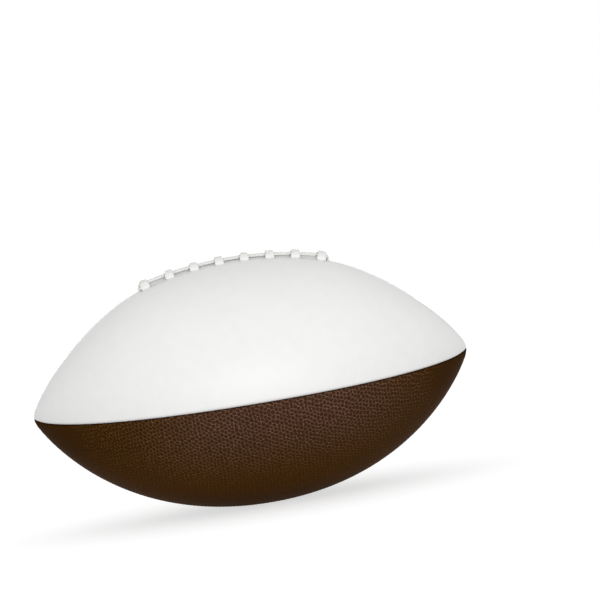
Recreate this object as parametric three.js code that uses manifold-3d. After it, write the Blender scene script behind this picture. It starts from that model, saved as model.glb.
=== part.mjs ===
// American football: four sewn panels over a lining and an air bladder, closed by one lace.
// Millimetres. +X runs along the ball, -Y is its front and +Z goes up through the lacing.
import * as THREE from "three";
import { mergeVertices } from "three/addons/utils/BufferGeometryUtils.js";
import Module from "manifold-3d";

// Form of the ball
const LENGTH = 280;
const DIAMETER = 155.2;
const NOSE_RADIUS = 12;
const NOSE_ANGLE = 28;
const FLANK_FULLNESS = 0.685;
const NOSE_FULLNESS = 0.85;
const TIP_OPENING = 4;
const REST_FLATTENING = 0.5;

// Cover, lining and seams
const COVER_THICKNESS = 2.2;
const LINING_THICKNESS = 1.4;
const SEAM_GAP = 0.4;
const SEAM_ALLOWANCE = 3.5;
const SIDE_SEAM_DROP = 9.4;
const SIDE_SEAM_EASE = 0.46;
const THREAD_DIAMETER = 0.8;
const EASE_TURN = 0.4;
const TIP_SHARE = 0.25;
const ALLOWANCE_SHARE = 0.33;

// Lacing
const LACE_WIDTH = 5.2;
const LACE_THICKNESS = 1.8;
const LACE_BEND = 2.4;
const LACE_TAIL = 2.2;
const LACE_EDGE_HEIGHT = 1.4;
const STRAND_RISE = 1.2;
const CROSS_LACES = 8;
const CROSS_PITCH = 16;
const HOLE_ROWS_APART = 16;
const END_STEP = 4.2;
const SLOT_MARGIN = 4;
const FACING_WIDTH = 15;
const FACING_THICKNESS = 1;
const TONGUE_WIDTH = 38;
const TONGUE_THICKNESS = 1.6;

// Bladder and valve
const BLADDER_WALL = 1;
const VALVE_FROM_SEAM = 26;
const VALVE_DIAMETER = 9;
const VALVE_LENGTH = 15;
const VALVE_RECESS = 0.3;
const VALVE_BASE_DIAMETER = 22;
const VALVE_BASE_THICKNESS = 1.2;
const PLUG_DIAMETER = 4;
const PLUG_LENGTH = 12;
const NEEDLE_HOLE_DIAMETER = 1.6;
const NEEDLE_HOLE_DEPTH = 4;

// Clearances between pieces
const FIT_GAP = 0.3;
const LACE_GAP = 0.5;

// Facets
const PANEL_STEPS = 7;
const LACED_STEPS = 3;
const END_STEPS = 5;
const NOSE_STEPS = 1;
const HOLE_SIDES = 6;
const VALVE_SIDES = 12;
const BLADDER_SHARES = [0.35, 0.65];
const STRAIGHT_TURN = 0.8 * Math.PI;

const half = LENGTH / 2;
const radius = DIAMETER / 2;
const seamHalf = SEAM_GAP / 2;
const lastCross = ((CROSS_LACES - 1) / 2) * CROSS_PITCH;
const laceEnd = lastCross + END_STEP;
const slotHalf = laceEnd + SLOT_MARGIN;
const tongueHalf = slotHalf + SLOT_MARGIN;
const sewnFrom = tongueHalf + SLOT_MARGIN;

// Half profile of the ball: a flank curve from the waist that runs into a round nose
const noseTurn = THREE.MathUtils.degToRad(NOSE_ANGLE);
const noseCentre = half - NOSE_RADIUS;
const noseStart = new THREE.Vector2(Math.cos(noseTurn), Math.sin(noseTurn))
  .multiplyScalar(NOSE_RADIUS)
  .add(new THREE.Vector2(noseCentre, 0));
const noseHandle = new THREE.Vector2(-Math.sin(noseTurn), Math.cos(noseTurn))
  .multiplyScalar(NOSE_FULLNESS * NOSE_RADIUS)
  .add(noseStart);
const waistStart = new THREE.Vector2(0, radius);
const waistHandle = new THREE.Vector2(FLANK_FULLNESS * half, radius);
const flank = new THREE.CubicBezierCurve(waistStart, waistHandle, noseHandle, noseStart);
const flankHeading = new THREE.QuadraticBezierCurve(
  waistHandle.clone().sub(waistStart),
  noseHandle.clone().sub(waistHandle),
  noseStart.clone().sub(noseHandle),
);
const tipTurn = Math.asin(TIP_OPENING / 2 / NOSE_RADIUS);

// A station is a girth of the ball: its place, its radius and the way its surface faces
function flankStation(t) {
  const point = flank.getPoint(t);
  const heading = flankHeading.getPoint(t).normalize();
  return { x: point.x, r: point.y, outX: -heading.y, outR: heading.x };
}

function noseStation(turn) {
  const outX = Math.cos(turn);
  const outR = Math.sin(turn);
  return { x: noseCentre + NOSE_RADIUS * outX, r: NOSE_RADIUS * outR, outX, outR };
}

function flankParameter(x) {
  let low = 0;
  let high = 1;
  for (let i = 0; i < 40; i++) {
    const middle = (low + high) / 2;
    if (flank.getPoint(middle).x < x) low = middle;
    else high = middle;
  }
  return (low + high) / 2;
}

function stationAt(x) {
  const station = flankStation(flankParameter(Math.abs(x)));
  return { x, r: station.r, outX: Math.sign(x) * station.outX, outR: station.outR };
}

function mirrored(station) {
  return { x: -station.x, r: station.r, outX: -station.outX, outR: station.outR };
}

function makeStations() {
  const side = [];
  for (let i = 1; i <= LACED_STEPS; i++) side.push(stationAt((slotHalf * i) / LACED_STEPS));
  const sewn = flankParameter(sewnFrom);
  for (let i = 0; i <= END_STEPS; i++) {
    side.push(flankStation(sewn + (1 - sewn) * (i / END_STEPS)));
  }
  for (let i = 1; i <= NOSE_STEPS; i++) {
    side.push(noseStation(THREE.MathUtils.lerp(noseTurn, tipTurn, i / NOSE_STEPS)));
  }
  const waist = { x: 0, r: radius, outX: 0, outR: 1 };
  return [...side.map(mirrored).reverse(), waist, ...side];
}

const stations = makeStations();

// Depths of the layers below the cover's outer face. A flat facet dips below the round form by facetSag
const widestTurn = Math.PI / 2 + SIDE_SEAM_DROP / radius;
const girthSag = radius * (1 - Math.cos(widestTurn / 2 / PANEL_STEPS));
const lacedStep = slotHalf / LACED_STEPS;
const flankSag = stationAt(lacedStep / 2).r - (radius + stationAt(lacedStep).r) / 2;
const facetSag = girthSag + flankSag;
const liningOuter = COVER_THICKNESS + FIT_GAP;
const liningInner = liningOuter + LINING_THICKNESS;
const allowanceEnd = liningInner + SEAM_ALLOWANCE;
const facingOuter = liningInner + FIT_GAP + facetSag;
const facingInner = facingOuter + FACING_THICKNESS;
const laceInside = facingInner + facetSag + LACE_GAP + LACE_THICKNESS / 2;
const tongueOuter = laceInside + LACE_THICKNESS / 2 + LACE_GAP;
const tongueInner = tongueOuter + TONGUE_THICKNESS;
const bladderOuter = liningInner + FIT_GAP + facetSag;
const seamStack = seamHalf + COVER_THICKNESS + FIT_GAP + LINING_THICKNESS;

// Closed solids, which can be cut and joined, and the geometry that they give back
const wasm = await Module();
wasm.setup();

function solidOf(geometry) {
  const bare = new THREE.BufferGeometry();
  bare.setAttribute("position", geometry.getAttribute("position"));
  bare.setIndex(geometry.getIndex());
  const merged = mergeVertices(bare, 1e-3);
  const index = merged.getIndex().array;
  const faces = [];
  for (let i = 0; i < index.length; i += 3) {
    const [a, b, c] = index.subarray(i, i + 3);
    if (a !== b && b !== c && c !== a) faces.push(a, b, c);
  }
  const made = (order) =>
    new wasm.Manifold(
      new wasm.Mesh({
        numProp: 3,
        vertProperties: merged.getAttribute("position").array,
        triVerts: new Uint32Array(order),
      }),
    );
  const solid = made(faces);
  return solid.volume() > 0 ? solid : made(faces.reverse());
}

function geometryOf(solid) {
  const mesh = solid.getMesh();
  const geometry = new THREE.BufferGeometry();
  geometry.setAttribute("position", new THREE.BufferAttribute(mesh.vertProperties, 3));
  geometry.setIndex(new THREE.BufferAttribute(mesh.triVerts, 1));
  geometry.computeVertexNormals();
  return geometry;
}

function cut(solid, cutters) {
  return cutters.reduce((left, cutter) => left.subtract(cutter), solid);
}

// A closed skin over rings of equally many corners, with faces that shut its two ends
function loft(rings, endFaces) {
  const corners = rings[0].length;
  const last = (rings.length - 1) * corners;
  const index = [];
  for (let start = 0; start < last; start += corners) {
    for (let j = 0; j < corners; j++) {
      const a = start + j;
      const b = start + ((j + 1) % corners);
      index.push(a, b, b + corners, a, b + corners, a + corners);
    }
  }
  for (const [a, b, c] of endFaces) index.push(a, c, b, last + a, last + b, last + c);
  const geometry = new THREE.BufferGeometry().setFromPoints(rings.flat());
  geometry.setIndex(index);
  return geometry;
}

// Panels between two seams. The side seams lie below the long axis and ease into the tips
const sideDrop = (station) => SIDE_SEAM_DROP * (station.r / radius) ** SIDE_SEAM_EASE;
const sideDip = (station) => Math.min(sideDrop(station) / station.r, EASE_TURN);
const panels = {
  upper_rear: {
    from: (station) => -sideDip(station),
    to: () => Math.PI / 2,
    lacedTo: true,
  },
  upper_front: {
    from: () => Math.PI / 2,
    to: (station) => Math.PI + sideDip(station),
    lacedFrom: true,
  },
  lower_front: {
    from: (station) => Math.PI + sideDip(station),
    to: () => 1.5 * Math.PI,
  },
  lower_rear: {
    from: () => 1.5 * Math.PI,
    to: (station) => 2 * Math.PI - sideDip(station),
  },
};

// How far the seam stack reaches into a panel, which shrinks where the panels run to a point
const edgeInset = (station) => Math.min(seamStack, TIP_SHARE * station.r);
const fullAllowance = (station) =>
  THREE.MathUtils.clamp(ALLOWANCE_SHARE * station.r, liningOuter, allowanceEnd);
const isSlot = (station) => Math.abs(station.x) < slotHalf + FIT_GAP;
const allowance = (station, laced) =>
  laced && isSlot(station) ? liningInner + FIT_GAP : fullAllowance(station);

// A corner is set in from one of its panel's seams, or at a share of the way between them
function cornerAngle(station, panel, corner) {
  const r = station.r - corner.depth * station.outR;
  if (corner.from !== undefined) return panel.from(station) + corner.from / r;
  if (corner.to !== undefined) return panel.to(station) - corner.to / r;
  const inset = edgeInset(station) / station.r;
  const start = panel.from(station) + inset;
  const end = panel.to(station) - inset;
  return THREE.MathUtils.lerp(start, end, corner.share);
}

function cornerPoint(station, panel, corner) {
  const r = station.r - corner.depth * station.outR;
  const angle = cornerAngle(station, panel, corner);
  const x = station.x - corner.depth * station.outX;
  return new THREE.Vector3(x, r * Math.cos(angle), r * Math.sin(angle));
}

function panelLoft(panel, along, section) {
  const sections = along.map((station) => section(station, panel));
  const rings = sections.map((corners, i) =>
    corners.map((corner) => cornerPoint(along[i], panel, corner)),
  );
  const flat = sections[0].map((corner) => {
    const angle = cornerAngle(along[0], panel, corner);
    return new THREE.Vector2(angle * along[0].r, -corner.depth);
  });
  return solidOf(loft(rings, THREE.ShapeUtils.triangulateShape(flat, [])));
}

function inside(depth) {
  const corners = [];
  for (let i = 1; i < PANEL_STEPS; i++) corners.push({ share: i / PANEL_STEPS, depth });
  return corners;
}

// Cover: each edge rolls over into the seam and is turned in as a sewing allowance
const ROLL = 1 - Math.SQRT1_2;

function coverSection(station, panel) {
  const fold = Math.min(COVER_THICKNESS, edgeInset(station) - seamHalf);
  const fromEnd = allowance(station, panel.lacedFrom);
  const toEnd = allowance(station, panel.lacedTo);
  const turn = seamHalf + fold;
  const roll = seamHalf + ROLL * fold;
  return [
    { from: turn, depth: fromEnd },
    { from: turn, depth: COVER_THICKNESS },
    ...inside(COVER_THICKNESS),
    { to: turn, depth: COVER_THICKNESS },
    { to: turn, depth: toEnd },
    { to: seamHalf, depth: toEnd },
    { to: seamHalf, depth: COVER_THICKNESS },
    { to: roll, depth: ROLL * COVER_THICKNESS },
    { to: turn, depth: 0 },
    ...inside(0).reverse(),
    { from: turn, depth: 0 },
    { from: roll, depth: ROLL * COVER_THICKNESS },
    { from: seamHalf, depth: COVER_THICKNESS },
    { from: seamHalf, depth: fromEnd },
  ];
}

// Lining: cloth behind the cover that is sewn into the same seams and stops short of the tips
const lined = stations.filter(
  (station) => edgeInset(station) >= seamStack && fullAllowance(station) > liningInner + FIT_GAP,
);

function liningSection(station, panel) {
  const inner = seamStack;
  const outer = seamStack - LINING_THICKNESS;
  const fromEnd = allowance(station, panel.lacedFrom);
  const toEnd = allowance(station, panel.lacedTo);
  return [
    { from: inner, depth: fromEnd },
    { from: inner, depth: liningInner },
    ...inside(liningInner),
    { to: inner, depth: liningInner },
    { to: inner, depth: toEnd },
    { to: outer, depth: toEnd },
    { to: outer, depth: liningOuter },
    ...inside(liningOuter).reverse(),
    { from: outer, depth: liningOuter },
    { from: outer, depth: fromEnd },
  ];
}

// Seam threads: a lockstitch lays one thread along each side of the turned-in edges
const sewn = stations.filter((station) => fullAllowance(station) >= allowanceEnd);
const threadInset = seamStack + FIT_GAP + THREAD_DIAMETER / 2;
const threadDepth = liningInner + SEAM_ALLOWANCE / 2;

function seamThread(panel, side, along) {
  const section = () =>
    [0, 1, 2, 3].map((quarter) => {
      const across = (THREAD_DIAMETER / 2) * Math.cos((quarter * Math.PI) / 2);
      const up = (THREAD_DIAMETER / 2) * Math.sin((quarter * Math.PI) / 2);
      const inset = side === "from" ? threadInset + across : threadInset - across;
      return { [side]: inset, depth: threadDepth - up };
    });
  return panelLoft(panel, along, section);
}

// Pieces modelled flat, then laid on the ball: x along it, y across it from a turn, z above the cover
const TOP = Math.PI / 2;

function layOnBall(geometry, turn) {
  const laid = geometry.clone();
  const places = laid.getAttribute("position");
  for (let i = 0; i < places.count; i++) {
    const station = stationAt(places.getX(i));
    const angle = turn - places.getY(i) / station.r;
    const height = places.getZ(i);
    const r = station.r + height * station.outR;
    places.setXYZ(i, station.x + height * station.outX, r * Math.cos(angle), r * Math.sin(angle));
  }
  return solidOf(laid);
}

function strip(length, width, outer, inner, across, spans) {
  const thickness = inner - outer;
  const box = new THREE.BoxGeometry(length, width, thickness, 2 * LACED_STEPS, spans, 1);
  return layOnBall(box.translate(0, across, -outer - thickness / 2), TOP);
}

function punch(sides, diameter, x, y, turn, top, bottom) {
  const outline = diameter / 2 / Math.cos(Math.PI / sides);
  const pin = new THREE.CylinderGeometry(outline, outline, top - bottom, sides, 1);
  return layOnBall(pin.rotateX(Math.PI / 2).translate(x, y, (top + bottom) / 2), turn);
}

// Lace holes: one at each end of every cross lace, and a wide one at each end of the slot
const holeRow = HOLE_ROWS_APART / 2;
const strandAcross = (LACE_WIDTH + LACE_GAP) / 2;
const holeSize = LACE_WIDTH + 2 * FIT_GAP;
const punchBottom = -laceInside;
const crossX = [];
for (let k = 0; k < CROSS_LACES; k++) crossX.push(k * CROSS_PITCH - lastCross);

function laceHoles() {
  const holes = [];
  for (const x of crossX) {
    for (const y of [-holeRow, holeRow]) {
      holes.push(punch(HOLE_SIDES, holeSize, x, y, TOP, COVER_THICKNESS, punchBottom));
    }
  }
  for (const x of [-laceEnd, laceEnd]) {
    const ends = [-strandAcross, strandAcross].map((y) =>
      punch(HOLE_SIDES, holeSize, x, y, TOP, COVER_THICKNESS, punchBottom),
    );
    const height = COVER_THICKNESS - punchBottom;
    const middle = new THREE.BoxGeometry(holeSize, 2 * strandAcross, height, 1, 2, 1);
    middle.translate(x, 0, (COVER_THICKNESS + punchBottom) / 2);
    holes.push(ends[0].add(ends[1]).add(layOnBall(middle, TOP)));
  }
  return holes;
}

// Lace route, from one tucked end to the other. Each stop has the way the lace lies flat there
const ALONG = new THREE.Vector3(1, 0, 0);
const ACROSS = new THREE.Vector3(0, 1, 0);
const SLANT = new THREE.Vector3(HOLE_ROWS_APART, CROSS_PITCH, 0).normalize();
const strandHeight = STRAND_RISE + LACE_THICKNESS / 2;
const deckHeight = strandHeight + LACE_THICKNESS + LACE_GAP;
const deckHalf = strandAcross + (LACE_WIDTH + LACE_THICKNESS) / 2 + LACE_GAP;

function laceRoute() {
  const stop = (x, y, z, flat) => ({ at: new THREE.Vector3(x, y, z), flat });
  const strand = (y, firstFlat, lastFlat) => [
    stop(laceEnd, y, -laceInside, firstFlat),
    stop(laceEnd, y, strandHeight, ACROSS),
    ...[...crossX].reverse().map((x) => stop(x, y, strandHeight, ACROSS)),
    stop(-laceEnd, y, strandHeight, ACROSS),
    stop(-laceEnd, y, -laceInside, lastFlat),
  ];
  const crossing = (x) => [
    stop(x, -holeRow, -laceInside, SLANT),
    stop(x, -holeRow, LACE_EDGE_HEIGHT, ALONG),
    stop(x, -deckHalf, deckHeight, ALONG),
    stop(x, 0, deckHeight, ALONG),
    stop(x, deckHalf, deckHeight, ALONG),
    stop(x, holeRow, LACE_EDGE_HEIGHT, ALONG),
    stop(x, holeRow, -laceInside, SLANT),
    ...(x < lastCross ? [stop(x + CROSS_PITCH / 2, 0, -laceInside, SLANT)] : []),
  ];
  return [
    stop(laceEnd - LACE_TAIL, -strandAcross, -laceInside, ACROSS),
    ...strand(-strandAcross, ACROSS, SLANT),
    ...crossX.flatMap(crossing),
    ...strand(strandAcross, SLANT, ACROSS),
    stop(LACE_TAIL - laceEnd, strandAcross, -laceInside, ACROSS),
  ];
}

function bentRoute(stops) {
  const bent = [stops[0]];
  for (let i = 1; i + 1 < stops.length; i++) {
    const { at, flat } = stops[i];
    const back = stops[i - 1].at.clone().sub(at);
    const ahead = stops[i + 1].at.clone().sub(at);
    if (back.angleTo(ahead) > STRAIGHT_TURN) {
      bent.push(stops[i]);
      continue;
    }
    const reach = Math.min(LACE_BEND, back.length() * 0.45, ahead.length() * 0.45);
    const enter = at.clone().addScaledVector(back.normalize(), reach);
    const leave = at.clone().addScaledVector(ahead.normalize(), reach);
    const bend = new THREE.QuadraticBezierCurve3(enter, at, leave);
    for (const t of [0, 0.5, 1]) bent.push({ at: bend.getPoint(t), flat });
  }
  bent.push(stops.at(-1));
  return bent;
}

function laceGeometry(stops) {
  const shape = [
    [0.5, 0],
    [0.33, 0.5],
    [-0.33, 0.5],
    [-0.5, 0],
    [-0.33, -0.5],
    [0.33, -0.5],
  ];
  const rings = stops.map(({ at, flat }, i) => {
    const before = stops[Math.max(i - 1, 0)].at;
    const after = stops[Math.min(i + 1, stops.length - 1)].at;
    const ahead = after.clone().sub(before).normalize();
    const up = ahead.clone().cross(flat).normalize();
    const wide = up.clone().cross(ahead);
    return shape.map(([across, over]) =>
      at
        .clone()
        .addScaledVector(wide, across * LACE_WIDTH)
        .addScaledVector(up, over * LACE_THICKNESS),
    );
  });
  const flatEnd = shape.map(([across, over]) => new THREE.Vector2(across, over));
  return loft(rings, THREE.ShapeUtils.triangulateShape(flatEnd, []));
}

// Bladder: pressed against the lining, and pushed in by the seams and by the tongue
const ridgeInset = threadInset + THREAD_DIAMETER / 2 + FIT_GAP;
const ridgeDepth = allowanceEnd + FIT_GAP + flankSag;
const beyond = sewn.filter((station) => station.x > slotHalf + FIT_GAP);
const middle = [-sewnFrom / 2, 0, sewnFrom / 2].map(stationAt);
const inflated = [...beyond.map(mirrored).reverse(), ...middle, ...beyond];

const bladderDepth = (station) =>
  Math.abs(station.x) < inflated.at(-1).x ? bladderOuter : ridgeDepth;

function bladderSide(side, station, laced, extra) {
  const shrink = station.r / radius;
  const low = bladderDepth(station) + extra;
  const ridge = { [side]: ridgeInset, depth: ridgeDepth + extra };
  if (!laced) return [ridge, { [side]: ridgeInset + SEAM_ALLOWANCE * shrink, depth: low }];
  const pressed = Math.abs(station.x) <= sewnFrom + FIT_GAP;
  const reach = pressed ? TONGUE_WIDTH / 2 + SLOT_MARGIN / 2 : (TONGUE_WIDTH / 2) * shrink;
  const deep = tongueInner + FIT_GAP + facetSag + extra;
  return [
    { [side]: ridgeInset, depth: pressed ? deep : ridgeDepth + extra },
    { [side]: Math.max(reach, ridgeInset + shrink), depth: pressed ? deep : low },
    { [side]: Math.max(reach, ridgeInset + shrink) + 2 * SLOT_MARGIN * shrink, depth: low },
  ];
}

function bladderSkin(extra) {
  const rings = inflated.map((station) =>
    Object.values(panels).flatMap((panel) => {
      const corners = [
        ...bladderSide("from", station, panel.lacedFrom, extra),
        ...BLADDER_SHARES.map((share) => ({ share, depth: bladderDepth(station) + extra })),
        ...bladderSide("to", station, panel.lacedTo, extra).reverse(),
      ];
      return corners.map((corner) => cornerPoint(station, panel, corner));
    }),
  );
  const tip = inflated.at(-1).x - extra + FIT_GAP;
  const shut = (x) => rings[0].map(() => new THREE.Vector3(x, 0, 0));
  return solidOf(loft([shut(-tip), ...rings, shut(tip)], []));
}

// Valve: a rubber stem through the lower rear panel, on a base inside the bladder
const valveTurn = 1.5 * Math.PI + VALVE_FROM_SEAM / radius;
const valvePin = (diameter, top, bottom) =>
  punch(VALVE_SIDES, diameter, 0, 0, valveTurn, top, bottom);
const valveHole = valvePin(VALVE_DIAMETER + 2 * FIT_GAP, COVER_THICKNESS, -VALVE_LENGTH);

function valveBody() {
  const depth = BLADDER_WALL + FIT_GAP;
  const layer = bladderSkin(depth).subtract(bladderSkin(depth + VALVE_BASE_THICKNESS));
  const base = layer.intersect(valvePin(VALVE_BASE_DIAMETER, 0, -VALVE_LENGTH));
  const stem = valvePin(VALVE_DIAMETER, -VALVE_RECESS, -VALVE_LENGTH);
  const bore = valvePin(PLUG_DIAMETER + 2 * FIT_GAP, COVER_THICKNESS, -VALVE_LENGTH - FIT_GAP);
  return base.add(stem).subtract(bore);
}

function valvePlug() {
  const top = -2 * VALVE_RECESS;
  const plug = valvePin(PLUG_DIAMETER, top, top - PLUG_LENGTH);
  return plug.subtract(valvePin(NEEDLE_HOLE_DIAMETER, COVER_THICKNESS, top - NEEDLE_HOLE_DEPTH));
}

// Materials
const WHITE_COVER = { color: 0xefefed, roughness: 0.45 };
const BROWN_COVER = { color: 0x4a2f1c, roughness: 0.55 };
const LINING_CLOTH = { color: 0xcfc8b6, roughness: 0.95 };
const SEAM_THREAD = { color: 0xe6e1d2, roughness: 0.8 };
const LACE_VINYL = { color: 0xf3f2ee, roughness: 0.5 };
const FACING_VINYL = { color: 0xd9d2c2, roughness: 0.7 };
const TONGUE_FELT = { color: 0xa79f90, roughness: 0.95 };
const BLADDER_RUBBER = { color: 0x1c1c1e, roughness: 0.6 };
const VALVE_RUBBER = { color: 0x141414, roughness: 0.5 };
const PLUG_RUBBER = { color: 0x2b2a2a, roughness: 0.5 };

// Assembly, raised so that the flat it rests on lies at height 0
const ball = new THREE.Group();
ball.position.z = radius - REST_FLATTENING;

function place(name, solid, look) {
  const mesh = new THREE.Mesh(geometryOf(solid), new THREE.MeshStandardMaterial(look));
  mesh.name = name;
  ball.add(mesh);
}

const floorBox = new THREE.BoxGeometry(LENGTH, DIAMETER, DIAMETER);
floorBox.translate(0, 0, REST_FLATTENING - radius - DIAMETER / 2);
const floor = solidOf(floorBox);
const holes = laceHoles();

const cuts = {
  upper_rear: holes,
  upper_front: holes,
  lower_front: [floor],
  lower_rear: [floor, valveHole],
};

for (const [name, panel] of Object.entries(panels)) {
  const cover = cut(panelLoft(panel, stations, coverSection), cuts[name]);
  const lining = cut(panelLoft(panel, lined, liningSection), cuts[name]);
  place(`${name}_panel`, cover, name.startsWith("upper") ? WHITE_COVER : BROWN_COVER);
  place(`${name}_lining`, lining, LINING_CLOTH);
}

const right = beyond;
const left = beyond.map(mirrored).reverse();
const threads = {
  front_seam: [panels.upper_front, "to", panels.lower_front, "from", sewn],
  rear_seam: [panels.upper_rear, "from", panels.lower_rear, "to", sewn],
  bottom_seam: [panels.lower_front, "to", panels.lower_rear, "from", sewn],
  top_left_seam: [panels.upper_rear, "to", panels.upper_front, "from", left],
  top_right_seam: [panels.upper_rear, "to", panels.upper_front, "from", right],
};
for (const [name, [needlePanel, needleSide, bobbinPanel, bobbinSide, along]] of Object.entries(threads)) {
  place(`${name}_needle_thread`, seamThread(needlePanel, needleSide, along), SEAM_THREAD);
  place(`${name}_bobbin_thread`, seamThread(bobbinPanel, bobbinSide, along), SEAM_THREAD);
}

const facingAcross = seamStack + FIT_GAP + FACING_WIDTH / 2;
for (const [name, across] of [["front", -facingAcross], ["rear", facingAcross]]) {
  const facing = strip(2 * slotHalf, FACING_WIDTH, facingOuter, facingInner, across, 2);
  place(`${name}_lace_facing`, cut(facing, holes), FACING_VINYL);
}
place("tongue", strip(2 * tongueHalf, TONGUE_WIDTH, tongueOuter, tongueInner, 0, 4), TONGUE_FELT);
place("lace", layOnBall(laceGeometry(bentRoute(laceRoute())), TOP), LACE_VINYL);

const bladder = bladderSkin(0).subtract(bladderSkin(BLADDER_WALL)).subtract(valveHole);
place("bladder", bladder, BLADDER_RUBBER);
place("valve_body", valveBody(), VALVE_RUBBER);
place("valve_plug", valvePlug(), PLUG_RUBBER);

const football = new THREE.Group();
football.add(ball);

export default football;
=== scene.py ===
# American football, built as it is sewn: bladder and valve first, then the lined panels, then the lace.
# Lengths are in millimetres until a mesh is made, and in metres for the studio and the camera. The frame is
# the CAD model's: +X along the ball, +Z up through the lacing, -Y towards the camera.
import math

import bpy
import numpy as np
from mathutils import Matrix


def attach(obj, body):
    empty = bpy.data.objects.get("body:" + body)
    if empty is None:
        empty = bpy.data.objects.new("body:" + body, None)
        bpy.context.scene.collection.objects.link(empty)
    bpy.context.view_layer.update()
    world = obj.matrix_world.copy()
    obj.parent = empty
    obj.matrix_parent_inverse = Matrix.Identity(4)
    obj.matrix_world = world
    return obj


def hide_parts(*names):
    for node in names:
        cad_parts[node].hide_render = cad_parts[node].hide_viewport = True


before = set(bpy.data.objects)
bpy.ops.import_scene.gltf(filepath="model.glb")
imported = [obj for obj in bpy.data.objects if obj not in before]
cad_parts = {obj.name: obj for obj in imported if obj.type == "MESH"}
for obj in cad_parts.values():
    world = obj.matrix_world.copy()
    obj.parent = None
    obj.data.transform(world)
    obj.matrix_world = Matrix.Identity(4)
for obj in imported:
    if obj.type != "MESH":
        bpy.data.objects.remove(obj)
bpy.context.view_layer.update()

# Bladder: a bag of butyl rubber, dip moulded in one piece and blown up against the lining.
# Talc keeps it from sticking to the cloth. It lies inside and keeps its CAD shape.
MM = 0.001


def linear(colour):
    """An sRGB hex colour as the linear RGBA that a shader takes."""
    shares = [int(colour[i : i + 2], 16) / 255 for i in (1, 3, 5)]
    curved = [s / 12.92 if s <= 0.04045 else ((s + 0.055) / 1.055) ** 2.4 for s in shares]
    return (*curved, 1)


def node(tree, kind, inputs=None, **settings):
    """Adds a shader node, sets its properties, and fills or links the inputs that are named or numbered."""
    made = tree.nodes.new("ShaderNode" + kind)
    for name, value in settings.items():
        setattr(made, name, value)
    for name, value in (inputs or {}).items():
        if isinstance(value, bpy.types.NodeSocket):
            tree.links.new(value, made.inputs[name])
        else:
            made.inputs[name].default_value = value
    return made


def finish(name):
    """A new material, its empty node tree, and the place on the object in metres for its patterns."""
    made = bpy.data.materials.new(name)
    made.use_nodes = True
    made.node_tree.nodes.clear()
    return made, made.node_tree, node(made.node_tree, "TexCoord").outputs["Object"]


def repeat(size):
    """Texture scale of a pattern whose cells are this many millimetres across."""
    return 1 / (size * MM)


def dress(material, *names):
    """Puts a finish on CAD nodes that keep their shape."""
    for name in names:
        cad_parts[name].data.materials.clear()
        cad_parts[name].data.materials.append(material)


# Dipped butyl rubber: dull black skin with pale clouds where the talc clings.
TALC_CLOUD = 14
butyl, tree, place = finish("dipped_butyl_rubber")
clouds = node(tree, "TexNoise", {"Vector": place, "Scale": repeat(TALC_CLOUD), "Detail": 6})
talc = node(tree, "MapRange", {"Value": clouds.outputs["Fac"], "From Min": 0.45, "From Max": 0.8})
colour = node(
    tree,
    "Mix",
    {0: talc.outputs["Result"], 6: linear("#1b1b1d"), 7: linear("#6d6b68")},
    data_type="RGBA",
)
dull = node(tree, "MapRange", {"Value": talc.outputs["Result"], "To Min": 0.5, "To Max": 0.9})
shader = node(
    tree,
    "BsdfPrincipled",
    {"Base Color": colour.outputs[2], "Roughness": dull.outputs["Result"], "IOR": 1.52},
)
node(tree, "OutputMaterial", {"Surface": shader.outputs["BSDF"]})
dress(butyl, "bladder")

# Valve: a moulded rubber stem through the lower rear panel, with a dished base vulcanised inside the
# bladder. A softer plug fills its bore and closes behind the needle. Both are round about the stem's axis.
# The ball's own form is given here too, because the valve is the first piece that stands on it.
LENGTH = 280
DIAMETER = 155.2
NOSE_RADIUS = 12
NOSE_ANGLE = 28
FLANK_FULLNESS = 0.685
NOSE_FULLNESS = 0.85
TIP_OPENING = 1.2
REST_FLATTENING = 0.5
VALVE_FROM_SEAM = 26
VALVE_DIAMETER = 9
VALVE_LENGTH = 15
VALVE_RECESS = 0.3
VALVE_LIP = 0.8
VALVE_DRAFT = 0.45
VALVE_BASE_DIAMETER = 22
VALVE_BASE_DEPTH = 8.3
VALVE_BASE_THICKNESS = 1.2
PLUG_DIAMETER = 4
PLUG_LENGTH = 12
NEEDLE_HOLE_DIAMETER = 1.6
NEEDLE_HOLE_DEPTH = 4
FIT_GAP = 0.3
FLANK_POINTS = 600
NOSE_POINTS = 80
TURNED_SIDES = 48
CORNER_SHARE = 0.45
CORNER_STEPS = 6

half = LENGTH / 2
radius = DIAMETER / 2
axis_height = radius - REST_FLATTENING


def ball_profile():
    """Points of the half profile from waist to tip, the way its surface faces there and the run to each."""
    nose_turn = math.radians(NOSE_ANGLE)
    nose_centre = half - NOSE_RADIUS
    inward = np.array([-math.sin(nose_turn), math.cos(nose_turn)])
    start = np.array([nose_centre + NOSE_RADIUS * math.cos(nose_turn), NOSE_RADIUS * math.sin(nose_turn)])
    handle = start + NOSE_FULLNESS * NOSE_RADIUS * inward
    t = np.linspace(0, 1, FLANK_POINTS)[:, None]
    flank = (1 - t) ** 3 * [0, radius] + 3 * t * (1 - t) ** 2 * [FLANK_FULLNESS * half, radius]
    flank = flank + 3 * t**2 * (1 - t) * handle + t**3 * start
    tip_turn = math.asin(TIP_OPENING / 2 / NOSE_RADIUS)
    turn = np.linspace(nose_turn, tip_turn, NOSE_POINTS)[1:]
    nose = np.stack([nose_centre + NOSE_RADIUS * np.cos(turn), NOSE_RADIUS * np.sin(turn)], 1)
    points = np.concatenate([flank, nose])
    run = np.append(0, np.cumsum(np.hypot(*np.diff(points, axis=0).T)))
    heading = np.gradient(points, run, axis=0)
    return points, np.stack([-heading[:, 1], heading[:, 0]], 1), run


profile, profile_facing, profile_run = ball_profile()


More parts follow.
